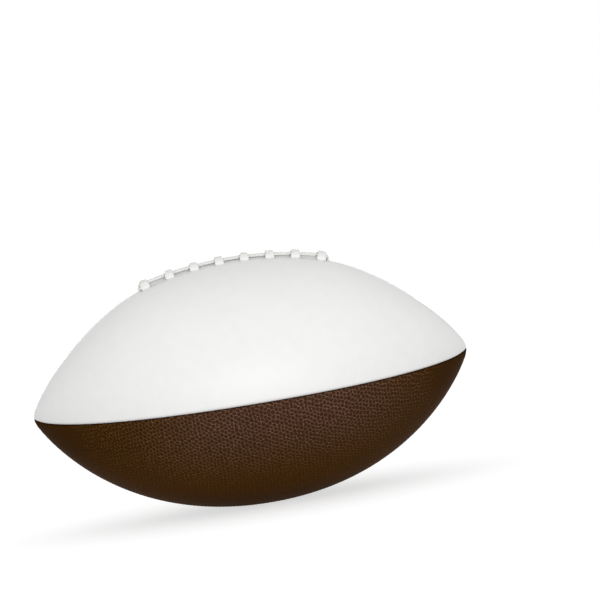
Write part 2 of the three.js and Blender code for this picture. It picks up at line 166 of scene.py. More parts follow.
def on_ball(run, turn, height=0.0):
    """Points at a run along the ball from its waist, a turn about its axis and a height above its cover."""
    side = np.sign(run)
    reach = np.abs(run)
    x, r = (np.interp(reach, profile_run, column) for column in profile.T)
    out_x, out_r = (np.interp(reach, profile_run, column) for column in profile_facing.T)
    r = r + height * out_r
    return np.stack([side * (x + height * out_x), r * np.cos(turn), r * np.sin(turn) + axis_height], -1)


def girth(run):
    """Radius of the ball at a run along it from its waist."""
    return np.interp(np.abs(run), profile_run, profile[:, 1])


def run_to(x):
    """Run along the ball to the girth at x."""
    return np.sign(x) * np.interp(np.abs(x), profile[:, 0], profile_run)


def piece(name, points, faces, material, slot, *stands_for):
    """A smooth mesh piece that rides on the ball and stands for CAD nodes."""
    mesh = bpy.data.meshes.new(name)
    mesh.from_pydata((np.asarray(points) * MM).tolist(), [], faces)
    mesh.materials.append(material)
    mesh.shade_smooth()
    made = bpy.data.objects.new(name, mesh)
    bpy.context.scene.collection.objects.link(made)
    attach(made, "root")
    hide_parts(*stands_for)
    return made


def turned(outline, capped=False):
    """Points and faces of a (radius, height) outline turned about the valve's axis, closed or capped."""
    angle = np.linspace(0, 2 * math.pi, TURNED_SIDES, endpoint=False)[:, None]
    out, up = np.array(outline).T
    axis = np.array([0, math.cos(valve_turn), math.sin(valve_turn)])
    across = np.array([0, -math.sin(valve_turn), math.cos(valve_turn)])
    centre = on_ball(np.array(0.0), valve_turn)
    points = centre + (out * np.cos(angle))[..., None] * [1, 0, 0]
    points = points + (out * np.sin(angle))[..., None] * across + up[None, :, None] * axis
    count = len(outline)
    faces = []
    for i in range(TURNED_SIDES):
        here = i * count
        there = (i + 1) % TURNED_SIDES * count
        for j in range(count - 1 if capped else count):
            after = (j + 1) % count
            faces.append((here + j, there + j, there + after, here + after))
    if capped:
        first = np.arange(TURNED_SIDES) * count
        faces += [first[::-1].tolist(), (first + count - 1).tolist()]
    return points.reshape(-1, 3), faces


def bend(before, at, after, size, share, steps):
    """Points round a corner that is cut off at this size from it, or at a share of its shorter side."""
    back = before - at
    ahead = after - at
    reach = min(size, np.linalg.norm(back) * share, np.linalg.norm(ahead) * share)
    enter = at + back / np.linalg.norm(back) * reach
    leave = at + ahead / np.linalg.norm(ahead) * reach
    return [(1 - t) ** 2 * enter + 2 * t * (1 - t) * at + t**2 * leave for t in np.linspace(0, 1, steps)]


def rounded(corners, size, capped=False):
    """An outline with rounded corners. A capped one keeps its end points."""
    corners = np.array(corners, float)
    made = []
    for i, at in enumerate(corners):
        if capped and i in (0, len(corners) - 1):
            made.append(at)
        else:
            after = corners[(i + 1) % len(corners)]
            made += bend(corners[i - 1], at, after, size, CORNER_SHARE, CORNER_STEPS)
    return made


valve_turn = 1.5 * math.pi + VALVE_FROM_SEAM / radius
bore = PLUG_DIAMETER / 2 + FIT_GAP
stem = VALVE_DIAMETER / 2
foot = stem - VALVE_DRAFT
base = VALVE_BASE_DIAMETER / 2
dish = base**2 / DIAMETER
valve_outline = [
    (bore, -VALVE_RECESS),
    (stem, -VALVE_RECESS),
    (foot, -VALVE_BASE_DEPTH),
    (base, -VALVE_BASE_DEPTH - dish),
    (base, -VALVE_BASE_DEPTH - dish - VALVE_BASE_THICKNESS),
    (foot, -VALVE_BASE_DEPTH - VALVE_BASE_THICKNESS),
    (foot, -VALVE_LENGTH),
    (bore, -VALVE_LENGTH),
]
plug_top = -2 * VALVE_RECESS
needle = NEEDLE_HOLE_DIAMETER / 2
plug = PLUG_DIAMETER / 2
plug_outline = [
    (needle / 2, plug_top - NEEDLE_HOLE_DEPTH),
    (needle, plug_top - NEEDLE_HOLE_DEPTH),
    (needle, plug_top),
    (plug, plug_top),
    (plug, plug_top - PLUG_LENGTH),
    (plug / 2, plug_top - PLUG_LENGTH),
]

# Moulded rubber: near-black, satin from the mould, with a faint bloom of wax on its face.
BLOOM = 2.5
moulded_rubber, tree, place = finish("moulded_valve_rubber")
bloom = node(tree, "TexNoise", {"Vector": place, "Scale": repeat(BLOOM), "Detail": 4})
colour = node(
    tree,
    "Mix",
    {0: bloom.outputs["Fac"], 6: linear("#141414"), 7: linear("#2a2928")},
    data_type="RGBA",
)
shader = node(tree, "BsdfPrincipled", {"Base Color": colour.outputs[2], "Roughness": 0.48, "IOR": 1.52})
node(tree, "OutputMaterial", {"Surface": shader.outputs["BSDF"]})
points, faces = turned(rounded(valve_outline, VALVE_LIP))
piece("moulded_valve_body", points, faces, moulded_rubber, "valve_rubber", "valve_body")

# Soft plug rubber: a shade greyer than the stem, and dull where needles have rubbed it.
NEEDLE_RUB = 0.8
plug_rubber, tree, place = finish("soft_plug_rubber")
rubbed = node(tree, "TexNoise", {"Vector": place, "Scale": repeat(NEEDLE_RUB), "Detail": 5})
colour = node(
    tree,
    "Mix",
    {0: rubbed.outputs["Fac"], 6: linear("#242323"), 7: linear("#3b3938")},
    data_type="RGBA",
)
shader = node(tree, "BsdfPrincipled", {"Base Color": colour.outputs[2], "Roughness": 0.6, "IOR": 1.52})
node(tree, "OutputMaterial", {"Surface": shader.outputs["BSDF"]})
points, faces = turned(rounded(plug_outline, FIT_GAP, capped=True), capped=True)
piece("soft_valve_plug", points, faces, plug_rubber, "plug_rubber", "valve_plug")

# Linings: plain-woven cotton duck behind each panel, sewn into the same seams so that the cover can't
# stretch. They lie inside and keep their CAD shape.
LINED_PANELS = ("upper_front", "upper_rear", "lower_front", "lower_rear")

# Woven cotton duck: matt and off-white, with painted shade darkening the low places between the threads
# that lie on top. Its threads are drawn about twice as coarse as they are, so that they show. A wave
# texture turns by 20 radians in each of its units.
DUCK_THREAD = 0.9
DUCK_RELIEF = 0.15
WAVE_TURN = 2 * math.pi / 20
duck, tree, place = finish("woven_cotton_duck")
weave = [
    node(
        tree,
        "TexWave",
        {"Vector": place, "Scale": WAVE_TURN * repeat(DUCK_THREAD), "Distortion": 0.6, "Detail": 1},
        bands_direction=way,
    )
    for way in "XY"
]
height = node(tree, "Math", {0: weave[0].outputs["Fac"], 1: weave[1].outputs["Fac"]}, operation="MAXIMUM")
# Painted shade: the cloth is darker where the weave lies low.
colour = node(
    tree,
    "Mix",
    {0: height.outputs[0], 6: linear("#a79f8c"), 7: linear("#d6cfbd")},
    data_type="RGBA",
)
bump = node(tree, "Bump", {"Height": height.outputs[0], "Distance": DUCK_RELIEF * MM})
shader = node(
    tree,
    "BsdfPrincipled",
    {"Base Color": colour.outputs[2], "Roughness": 0.9, "Normal": bump.outputs["Normal"]},
)
node(tree, "OutputMaterial", {"Surface": shader.outputs["BSDF"]})
dress(duck, *[f"{name}_lining" for name in LINED_PANELS])

# Seam threads: waxed polyester, one needle thread and one bobbin thread along the turned-in edges of every
# seam. They lie inside and keep their CAD shape.
SEAMS = ("front_seam", "rear_seam", "bottom_seam", "top_left_seam", "top_right_seam")

# Twisted polyester, waxed: pale and slightly shiny, with a line of painted shade where two plies meet.
THREAD_TWIST = 1.1
twisted, tree, place = finish("twisted_waxed_polyester")
plies = node(
    tree,
    "TexWave",
    {"Vector": place, "Scale": WAVE_TURN * repeat(THREAD_TWIST), "Distortion": 0.3},
    bands_direction="DIAGONAL",
)
# Painted shade darkens the wave's low bands, where the plies meet.
colour = node(
    tree,
    "Mix",
    {0: plies.outputs["Fac"], 6: linear("#bcb49f"), 7: linear("#ece7d9")},
    data_type="RGBA",
)
shader = node(tree, "BsdfPrincipled", {"Base Color": colour.outputs[2], "Roughness": 0.62})
node(tree, "OutputMaterial", {"Surface": shader.outputs["BSDF"]})
for seam in SEAMS:
    dress(twisted, f"{seam}_needle_thread", f"{seam}_bobbin_thread")

# Lace facings and tongue: vinyl-coated strips that back the punched holes, and a strip of felt over the
# bladder. They lie inside, under the slot, and keep their CAD shape.

# Vinyl-coated cloth: cream and dull, with a fine grain pressed into the coating.
COATING_GRAIN = 0.7
COATING_RELIEF = 0.05
coated, tree, place = finish("vinyl_coated_cloth")
grain = node(tree, "TexVoronoi", {"Vector": place, "Scale": repeat(COATING_GRAIN)})
bump = node(tree, "Bump", {"Height": grain.outputs["Distance"], "Distance": COATING_RELIEF * MM})
colour = node(
    tree,
    "Mix",
    {0: grain.outputs["Distance"], 6: linear("#dcd5c6"), 7: linear("#c4bcaa")},
    data_type="RGBA",
)
shader = node(
    tree,
    "BsdfPrincipled",
    {"Base Color": colour.outputs[2], "Roughness": 0.6, "Normal": bump.outputs["Normal"]},
)
node(tree, "OutputMaterial", {"Surface": shader.outputs["BSDF"]})
dress(coated, "front_lace_facing", "rear_lace_facing")

# Pressed wool felt: grey-brown and without gloss, mottled by its fibres, with a soft sheen at a low angle.
FELT_FIBRE = 1.6
felt, tree, place = finish("pressed_wool_felt")
fibres = node(
    tree,
    "TexNoise",
    {"Vector": place, "Scale": repeat(FELT_FIBRE), "Detail": 8, "Distortion": 2.5},
)
colour = node(
    tree,
    "Mix",
    {0: fibres.outputs["Fac"], 6: linear("#8b8375"), 7: linear("#bdb5a6")},
    data_type="RGBA",
)
shader = node(
    tree,
    "BsdfPrincipled",
    {"Base Color": colour.outputs[2], "Roughness": 1, "Sheen Weight": 0.5, "Sheen Roughness": 0.6},
)
node(tree, "OutputMaterial", {"Surface": shader.outputs["BSDF"]})
dress(felt, "tongue")

# Panels: four leaves of synthetic leather, sewn inside out and turned, so that each edge rolls into its
# seam. The side seams run a little below the long axis. The stitches draw small puckers along sewn edges.
COVER_THICKNESS = 2.2
SEAM_GAP = 0.4
BOTTOM_SEAM_GAP = 0.1
SIDE_SEAM_DROP = 9.4
SIDE_SEAM_EASE = 0.46
EASE_TURN = 0.4
EASE_POWER = 8
TIP_SHARE = 0.25
TIP_GAP_SHARE = 0.2
ALLOWANCE_SHARE = 0.33
FULL_ALLOWANCE = 7.4
SLOT_ALLOWANCE = 2.9
STITCH_PITCH = 4.4
STITCH_REACH = 2.6
FULLER_BY = 1.25
FULLER_AT = 60
FULLER_REACH = 24
SLIMMER_BY = 0.95
SLIMMER_AT = 112
SLIMMER_REACH = 22
ROLL_STEPS = 7
INNER_STEPS = 16
LEAST_COLUMNS = 4
SHARP_ANGLE = 55


def side_dip(r):
    """Turn below the horizon of a side seam at a girth, eased into the tips."""
    drop = SIDE_SEAM_DROP * (r / radius) ** SIDE_SEAM_EASE
    return ((r / drop) ** EASE_POWER + EASE_TURN**-EASE_POWER) ** (-1 / EASE_POWER)


# The turn about the ball's axis at which each panel's first and last edges lie, at a girth
PANELS = {
    "upper_rear": (lambda r: -side_dip(r), lambda r: np.full_like(r, math.pi / 2)),
    "upper_front": (lambda r: np.full_like(r, math.pi / 2), lambda r: math.pi + side_dip(r)),
    "lower_front": (lambda r: math.pi + side_dip(r), lambda r: np.full_like(r, 1.5 * math.pi)),
    "lower_rear": (lambda r: np.full_like(r, 1.5 * math.pi), lambda r: 2 * math.pi - side_dip(r)),
}


def on_cover(run, turn, height):
    """Points by height from the sewn cover, fuller on top at the ends of the lacing and slimmer beyond."""
    x = np.interp(np.abs(run), profile_run, profile[:, 0])
    fuller = FULLER_BY * np.exp(-(((x - FULLER_AT) / FULLER_REACH) ** 2))
    slimmer = SLIMMER_BY * np.exp(-(((x - SLIMMER_AT) / SLIMMER_REACH) ** 2))
    top = np.clip(np.sin(turn), 0, 1) ** 2
    outer = np.clip(1 + height / COVER_THICKNESS, 0, 1)
    return on_ball(run, turn, height + (fuller - slimmer) * top * outer)


def skin(rings):
    """Faces over closed rings of (points, marks) of unlike counts. A mark is how far round a point is."""
    faces = []
    start = 0
    for (points, marks), (next_points, next_marks) in zip(rings, rings[1:]):
        count = len(points)
        next_count = len(next_points)
        next_start = start + count
        end = marks[-1] + 1
        middles = (marks + np.append(marks[1:], end)) / 2
        next_middles = (next_marks + np.append(next_marks[1:], end)) / 2
        across = np.searchsorted(next_middles, middles) % next_count
        next_across = np.searchsorted(middles, next_middles, side="right") % count
        here = np.arange(count)
        there = np.arange(next_count)
        faces += np.stack([start + (here + 1) % count, start + here, next_start + across], 1).tolist()
        faces += np.stack(
            [next_start + there, next_start + (there + 1) % next_count, start + next_across], 1
        ).tolist()
        start = next_start
    last = len(rings[-1][0])
    faces.append(list(range(len(rings[0][0]))))
    faces.append([start + i for i in reversed(range(last))])
    return faces


def panel_mesh(name, step, relief, pucker, gaps=(SEAM_GAP, SEAM_GAP), unsewn=(0, 0)):
    """Points and faces of one panel, with a grain height for each point.

    Its first and last edges lie in seams with these gaps, and are unsewn as far out as these runs.
    """
    first_turn, last_turn = PANELS[name]
    end = profile_run[-1]
    runs = np.linspace(-end, end, int(2 * end / step))
    roll = np.linspace(0, math.pi / 2, ROLL_STEPS)
    rings = []
    grains = []
    for run in runs:
        r = girth(run)
        first = float(first_turn(np.array(r)))
        last = float(last_turn(np.array(r)))
        first_gap, last_gap = (min(gap / 2, TIP_SHARE * r * TIP_GAP_SHARE) for gap in gaps)
        fold = min(COVER_THICKNESS, TIP_SHARE * r)
        allowance = np.clip(ALLOWANCE_SHARE * r, COVER_THICKNESS + FIT_GAP, FULL_ALLOWANCE)
        first_end, last_end = (SLOT_ALLOWANCE if abs(run) < reach else allowance for reach in unsewn)
        whole = r * (last - first)
        first_fold = first_gap + fold
        last_fold = whole - last_gap - fold
        width = last_fold - first_fold
        inner = first_fold + width * np.linspace(0, 1, INNER_STEPS + 1)[1:-1]
        columns = max(LEAST_COLUMNS, round(width / step))
        outer = first_fold + width * np.linspace(0, 1, columns + 1)
        rolled = fold * (1 - np.cos(roll[:-1]))
        sunk = COVER_THICKNESS * (1 - np.sin(roll[:-1]))
        inside = np.concatenate(
            [[first_fold, first_fold], inner, [last_fold, last_fold, whole - last_gap]]
        )
        across = np.concatenate(
            [
                inside,
                whole - last_gap - rolled,
                outer[::-1],
                first_gap + rolled[::-1],
                [first_gap],
            ]
        )
        depth = np.concatenate(
            [
                [first_end, COVER_THICKNESS],
                np.full(len(inner), COVER_THICKNESS),
                [COVER_THICKNESS, last_end, last_end],
                sunk,
                np.zeros(len(outer)),
                sunk[::-1],
                [first_end],
            ]
        )
        before = len(inside) + len(rolled)
        shown = slice(len(inside), before + len(outer) + len(rolled))
        # The face counts as one step round the ring, however many points lie across it
        marks = np.arange(len(across), dtype=float)
        marks[before : before + len(outer)] = before + np.linspace(0, 1, len(outer))
        marks[before + len(outer) :] = before + 2 + np.arange(len(across) - before - len(outer))
        turn = first + across / r
        grain = np.ones(len(across))
        low, grain[shown] = relief(run, turn[shown], across[shown], whole)
        from_seam = np.minimum(across[shown] - first_gap, whole - last_gap - across[shown])
        stitch = 0.5 - 0.5 * math.cos(2 * math.pi * run / STITCH_PITCH)
        low = low + pucker * stitch * np.exp(-((from_seam / STITCH_REACH) ** 2))
        edge = np.clip(from_seam / fold, 0, 1)
        depth[shown] += low * edge
        rings.append((on_cover(np.full(len(turn), run), turn, -depth), marks))
        grains.append(grain)
    points = np.concatenate([ring for ring, marks in rings])
    points[:, 2] = np.maximum(points[:, 2], 0)
    return points, skin(rings), np.concatenate(grains)


def cut(made, tools):
    """Cuts closed tool meshes, given as (points, faces), out of a piece."""
    modifier = made.modifiers.new("cut", "BOOLEAN")
    modifier.operation = "DIFFERENCE"
    modifier.solver = "MANIFOLD"
    points = []
    faces = []
    for tool_points, tool_faces in tools:
        faces += [[len(points) + i for i in face] for face in tool_faces]
        points += (np.asarray(tool_points) * MM).tolist()
    mesh = bpy.data.meshes.new("tool")
    mesh.from_pydata(points, [], faces)
    tool = bpy.data.objects.new("tool", mesh)
    bpy.context.scene.collection.objects.link(tool)
    modifier.object = tool
    bpy.context.view_layer.update()
    whole = made.data
    made.data = bpy.data.meshes.new_from_object(made.evaluated_get(bpy.context.evaluated_depsgraph_get()))
    made.modifiers.clear()
    bpy.data.objects.remove(tool)
    bpy.data.meshes.remove(whole)
    made.data.name = made.name
    made.data.set_sharp_from_angle(angle=math.radians(SHARP_ANGLE))


# Lower panels: dark brown leaves, embossed under a hot roller with round pebbles for grip. The pebbles are
# stretched flatter towards the tips and the bottom seam. The rear leaf is punched for the valve.
PEBBLE_PITCH = 2.7
PEBBLE_HEIGHT = 0.35
PEBBLE_LOOSENESS = 0.26
PEBBLE_SLOPE = 0.72
FLAT_TIP = 18
FULL_GRAIN = 55
FLAT_GRAIN = 0.62
BOTTOM_GRAIN = 0.4
BOTTOM_FADE = 75
LOWER_PUCKER = 0.2
LOWER_STEP = 0.56
PEBBLE_SEED = 7
PEBBLE_DRAWS = 256
draws = np.random.default_rng(PEBBLE_SEED).uniform(-1, 1, (PEBBLE_DRAWS, PEBBLE_DRAWS, 2))


def pebbles(along, across):
    """Height of the embossed grain from 0 in a groove to 1 on a crown, on a loose six-sided layout."""
    row_pitch = PEBBLE_PITCH * math.sqrt(3) / 2
    row = np.round(along / row_pitch).astype(int)
    gaps = []
    for j in (row - 1, row, row + 1):
        offset = np.where(j % 2, 0.5, 0)
        column = np.round(across / PEBBLE_PITCH - offset).astype(int)
        for i in (column - 1, column, column + 1):
            loose = draws[j % PEBBLE_DRAWS, i % PEBBLE_DRAWS] * PEBBLE_LOOSENESS * PEBBLE_PITCH
            gap_along = along - j * row_pitch - loose[..., 0]
            gap_across = across - (i + offset) * PEBBLE_PITCH - loose[..., 1]
            gaps.append(np.hypot(gap_along, gap_across))
    nearest = np.sort(np.stack(gaps), axis=0)
    crown = np.clip((nearest[1] - nearest[0]) / (PEBBLE_SLOPE * PEBBLE_PITCH), 0, 1)
    return 1 - (1 - crown) ** 2


def pebbled(run, turn, across, whole):
    """Depth of the pebbled face below the ball's form, and its grain."""
    grain = pebbles(np.full(len(across), run), across - whole / 2)
    from_tip = profile_run[-1] - abs(run)
    share = np.clip((from_tip - FLAT_TIP) / (FULL_GRAIN - FLAT_TIP), 0, 1)
    from_bottom = np.abs(turn - 1.5 * math.pi) * girth(run)
    share = share * (BOTTOM_GRAIN + (1 - BOTTOM_GRAIN) * np.clip(from_bottom / BOTTOM_FADE, 0, 1))
    from_valve = np.hypot(run, (turn - valve_turn) * radius)
    share = share * np.clip((from_valve - VALVE_DIAMETER / 2 - FIT_GAP) / PEBBLE_PITCH, 0, 1)
    return PEBBLE_HEIGHT * (1 - grain) * share, FLAT_GRAIN + (grain - FLAT_GRAIN) * share


# Embossed synthetic leather, dark brown: dark crowns with paler grooves between them, and hardly any gloss,
# which would haze its lower edge. The crowns carry a darker tipping, and the pale grooves also stand in
# part for a painted highlight on the pebble flanks. A painted sheen makes the middle of each panel greyer,
# fading towards its tips and the bottom seam, and the crowns are painted lighter towards the bottom as
# painted fill light against the shade there. Its pores are too fine to show, so they are drawn coarser.
GRAIN_PORE = 0.35
PORE_RELIEF = 0.03
HIDE_CLOUD = 30
# The painted sheen is centred this far along the ball, full within the inner run of that and gone past the
# outer one. It and the painted fill on the crowns change over between the bottom and top heights.
SHEEN_MIDDLE = 15
SHEEN_INNER = 25
SHEEN_OUTER = 115
PAINTED_LIGHT_BOTTOM = 12
PAINTED_LIGHT_TOP = 62
embossed, tree, place = finish("embossed_brown_synthetic_leather")
embossing = node(tree, "Attribute", attribute_name="grain")
clouds = node(tree, "TexNoise", {"Vector": place, "Scale": repeat(HIDE_CLOUD), "Detail": 3})
# The crowns take a darker tipping and the grooves stay paler; the pale grooves also stand in part for a
# painted highlight on the pebble flanks.
tipped_and_glinting = node(
    tree,
    "MapRange",
    {"Value": embossing.outputs["Fac"], "From Min": 0.1, "From Max": 0.55},
    interpolation_type="SMOOTHSTEP",
)
# Painted sheen: greyer over the middle of each lower panel, fading along the ball and down towards the
# bottom.
where = node(tree, "SeparateXYZ", {0: place})
aside = node(tree, "Math", {0: where.outputs["X"], 1: SHEEN_MIDDLE * MM}, operation="SUBTRACT")
apart = node(tree, "Math", {0: aside.outputs[0]}, operation="ABSOLUTE")
inward = node(
    tree,
    "MapRange",
    {"Value": apart.outputs[0], "From Min": SHEEN_OUTER * MM, "From Max": SHEEN_INNER * MM},
    interpolation_type="SMOOTHSTEP",
)
upward = node(
    tree,
    "MapRange",
    {"Value": where.outputs["Z"], "From Min": PAINTED_LIGHT_BOTTOM * MM, "From Max": PAINTED_LIGHT_TOP * MM},
    interpolation_type="SMOOTHSTEP",
)
painted_sheen = node(
    tree,
    "Math",
    {0: inward.outputs["Result"], 1: upward.outputs["Result"]},
    operation="MULTIPLY",
)
# Painted fill light: the crowns are lighter towards the bottom, against the shade that falls there.
crown_with_painted_fill = node(
    tree,
    "Mix",
    {0: upward.outputs["Result"], 6: linear("#452909"), 7: linear("#361f05")},
    data_type="RGBA",
)
deep = node(
    tree,
    "Mix",
    {0: tipped_and_glinting.outputs["Result"], 6: linear("#624321"), 7: crown_with_painted_fill.outputs[2]},
    data_type="RGBA",
)
# Groove and crown colours under the painted sheen.
grey = node(
    tree,
    "Mix",
    {0: tipped_and_glinting.outputs["Result"], 6: linear("#785a49"), 7: linear("#3f281a")},
    data_type="RGBA",
)
# The painted sheen mixed over the colour of the leather.
pigment_and_painted_light = node(
    tree,
    "Mix",
    {0: painted_sheen.outputs[0], 6: deep.outputs[2], 7: grey.outputs[2]},
    data_type="RGBA",
)
worn = node(tree, "MapRange", {"Value": clouds.outputs["Fac"], "To Min": 0.9, "To Max": 1.1})
colour = node(
    tree,
    "VectorMath",
    {0: pigment_and_painted_light.outputs[2], "Scale": worn.outputs["Result"]},
    operation="SCALE",
)
pores = node(tree, "TexVoronoi", {"Vector": place, "Scale": repeat(GRAIN_PORE)})
bump = node(tree, "Bump", {"Height": pores.outputs["Distance"], "Distance": PORE_RELIEF * MM})
dull = node(tree, "MapRange", {"Value": embossing.outputs["Fac"], "To Min": 0.62, "To Max": 0.55})
shader = node(
    tree,
    "BsdfPrincipled",
    {
        "Base Color": colour.outputs[0],
        "Roughness": dull.outputs["Result"],
        "IOR": 1.5,
        "Specular IOR Level": 0.015,
        "Normal": bump.outputs["Normal"],
    },
)
node(tree, "OutputMaterial", {"Surface": shader.outputs["BSDF"]})

for name in ("lower_front", "lower_rear"):
    gaps = (SEAM_GAP, BOTTOM_SEAM_GAP) if name == "lower_front" else (BOTTOM_SEAM_GAP, SEAM_GAP)
    points, faces, grain = panel_mesh(name, LOWER_STEP, pebbled, LOWER_PUCKER, gaps=gaps)
    made = piece(f"pebbled_{name}_panel", points, faces, embossed, "brown_cover", f"{name}_panel")
    made.data.attributes.new("grain", "FLOAT", "POINT").data.foreach_set("value", grain.astype(np.float32))
    if name == "lower_rear":
        hole = VALVE_DIAMETER / 2 + FIT_GAP
        cut(made, [turned([(hole, COVER_THICKNESS), (hole, -VALVE_LENGTH)], capped=True)])

# Upper panels: smooth white leaves, left unsewn along the slot, where the bladder goes in. They are punched
# for the lace, which draws the leather down round each hole, and the tongue pushes the slot's lips up.
LACE_WIDTH = 5.2
LACE_THICKNESS = 1.4
LACE_GAP = 0.5
CROSS_LACES = 8
CROSS_PITCH = 16
HOLE_ROWS_APART = 16
END_STEP = 4.2
SLOT_MARGIN = 4
SWELL_HEIGHT = 1.25
SWELL_WIDTH = 14
LIP_HEIGHT = 1.9
LIP_WIDTH = 2.2
HOLE_PUCKER = 0.2
PUCKER_ALONG = 5
PUCKER_ACROSS = 3.6
PUCKER_LIMIT = 3 * PUCKER_ALONG
UPPER_PUCKER = 0.12
UPPER_STEP = 0.95
LACE_SIDES = 24
LACE_SOFTNESS = 0.62
HOLE_RINGS = 4
last_cross = (CROSS_LACES - 1) / 2 * CROSS_PITCH
lace_end = last_cross + END_STEP
slot_run = run_to(lace_end + SLOT_MARGIN)
hole_row = HOLE_ROWS_APART / 2
strand_across = (LACE_WIDTH + LACE_GAP) / 2
cross_x = np.arange(CROSS_LACES) * CROSS_PITCH - last_cross
hole_places = [(x, y) for x in cross_x for y in (-hole_row, hole_row)]


def swell(x, aside):
    """Height by which the tongue lifts the cover along the slot, between the fuller ends of the lacing."""
    between = 1 - np.exp(-((np.minimum(np.abs(x) - FULLER_AT, 0) / FULLER_REACH) ** 2))
    return SWELL_HEIGHT * between * np.exp(-((aside / SWELL_WIDTH) ** 2))


def drawn(run, turn, across, whole):
    """Depth of the smooth face below the ball's form, drawn in at the holes and lifted along the slot."""
    along = np.sign(run) * np.interp(abs(run), profile_run, profile[:, 0])
    aside = (math.pi / 2 - turn) * girth(run)
    low = np.zeros(len(turn))
    for x, y in hole_places:
        if abs(along - x) < PUCKER_LIMIT:
            fade = ((along - x) / PUCKER_ALONG) ** 2
            low += HOLE_PUCKER * np.exp(-fade - ((aside - y) / PUCKER_ACROSS) ** 2)
    inside_slot = np.clip((lace_end - abs(along)) / END_STEP, 0, 1)
    lip = np.exp(-(((np.abs(aside) - COVER_THICKNESS) / LIP_WIDTH) ** 2))
    lip_rise = LIP_HEIGHT * inside_slot - swell(along, COVER_THICKNESS)
    return low - swell(along, aside) - lip_rise * lip, np.ones(len(turn))


# Calendered synthetic leather, white: even and satin, with a faint waviness that breaks up its gloss.
# Its pores are too fine to show, so they are drawn coarser.
CALENDER_PORE = 0.6
CALENDER_RELIEF = 0.04
PORE_SHARE = 0.25
ORANGE_PEEL = 7
calendered, tree, place = finish("calendered_white_synthetic_leather")
pores = node(tree, "TexVoronoi", {"Vector": place, "Scale": repeat(CALENDER_PORE)})
peel = node(tree, "TexNoise", {"Vector": place, "Scale": repeat(ORANGE_PEEL), "Detail": 2})
height = node(
    tree,
    "Math",
    {0: pores.outputs["Distance"], 1: PORE_SHARE, 2: peel.outputs["Fac"]},
    operation="MULTIPLY_ADD",
)
bump = node(tree, "Bump", {"Height": height.outputs[0], "Distance": CALENDER_RELIEF * MM})
tint = node(
    tree,
    "Mix",
    {0: peel.outputs["Fac"], 6: linear("#eeeeed"), 7: linear("#f4f4f3")},
    data_type="RGBA",
)
dull = node(tree, "MapRange", {"Value": peel.outputs["Fac"], "To Min": 0.42, "To Max": 0.52})
shader = node(
    tree,
    "BsdfPrincipled",
    {
        "Base Color": tint.outputs[2],
        "Roughness": dull.outputs["Result"],
        "IOR": 1.48,
        "Normal": bump.outputs["Normal"],
    },
)
node(tree, "OutputMaterial", {"Surface": shader.outputs["BSDF"]})


def lace_section(wide, thick):
    """The lace's rounded flat section, as (across, over) points."""
    angle = np.linspace(0, 2 * math.pi, LACE_SIDES, endpoint=False)
    across = np.sign(np.cos(angle)) * np.abs(np.cos(angle)) ** LACE_SOFTNESS * wide / 2
    over = np.sign(np.sin(angle)) * np.abs(np.sin(angle)) ** LACE_SOFTNESS * thick / 2
    return np.stack([across, over], 1)


def lay(points):
    """Flat points (x along, y across from the top seam, z above the cover) laid on the ball."""
    x, y, z = np.moveaxis(np.asarray(points, float), -1, 0)
    run = run_to(x)
    return on_cover(run, math.pi / 2 - y / girth(run), z)


def lace_hole(x, y, along_x):
    """Tool that punches a hole a little larger than the lace."""
    outline = lace_section(LACE_WIDTH + 2 * FIT_GAP, LACE_THICKNESS + 2 * FIT_GAP)
    if not along_x:
        outline = outline[:, ::-1] * [1, -1]
    rings = []
    for z in np.linspace(COVER_THICKNESS, -FULL_ALLOWANCE, HOLE_RINGS):
        flat = np.column_stack([x + outline[:, 0], y + outline[:, 1], np.full(len(outline), z)])
        rings.append((lay(flat), np.arange(len(outline), dtype=float)))
    return np.concatenate([ring for ring, marks in rings]), skin(rings)


for name in ("upper_front", "upper_rear"):
    unsewn = (slot_run, 0) if name == "upper_front" else (0, slot_run)
    points, faces, _ = panel_mesh(name, UPPER_STEP, drawn, UPPER_PUCKER, unsewn=unsewn)
    made = piece(f"smooth_{name}_panel", points, faces, calendered, "white_cover", f"{name}_panel")
    side = -1 if name == "upper_front" else 1
    tools = [lace_hole(x, y, True) for x, y in hole_places if y * side > 0]
    tools += [lace_hole(x, side * strand_across, False) for x in (-lace_end, lace_end)]
    cut(made, tools)

# Lace: one flat vinyl lace. It comes up at one end, runs along the slot, dives, crosses eight times through
# the punched holes with a slanted step inside after each, and ends as a second strand along the slot.
LACE_INSIDE = 8.3
LACE_SQUARE = 1
LACE_BEND = 3.4
LACE_TAIL = 2.2
LACE_EDGE_HEIGHT = 1.4
STRAND_RISE = 2.3
DECK_GAP = 0.2
LACE_STEP = 1.2
BEND_SHARE = 0.48
BEND_STEPS = 9
strand_height = STRAND_RISE + LACE_THICKNESS / 2
deck_height = strand_height + LACE_THICKNESS + DECK_GAP
deck_half = strand_across + (LACE_WIDTH + LACE_THICKNESS) / 2 + LACE_GAP
ALONG = np.array([1.0, 0, 0])
ACROSS = np.array([0, 1.0, 0])
SLANT = np.array([HOLE_ROWS_APART, CROSS_PITCH, 0]) / math.hypot(HOLE_ROWS_APART, CROSS_PITCH)
PULLED_IN = 0.94 * ALONG
SPREAD_OUT = 1.1 * ALONG


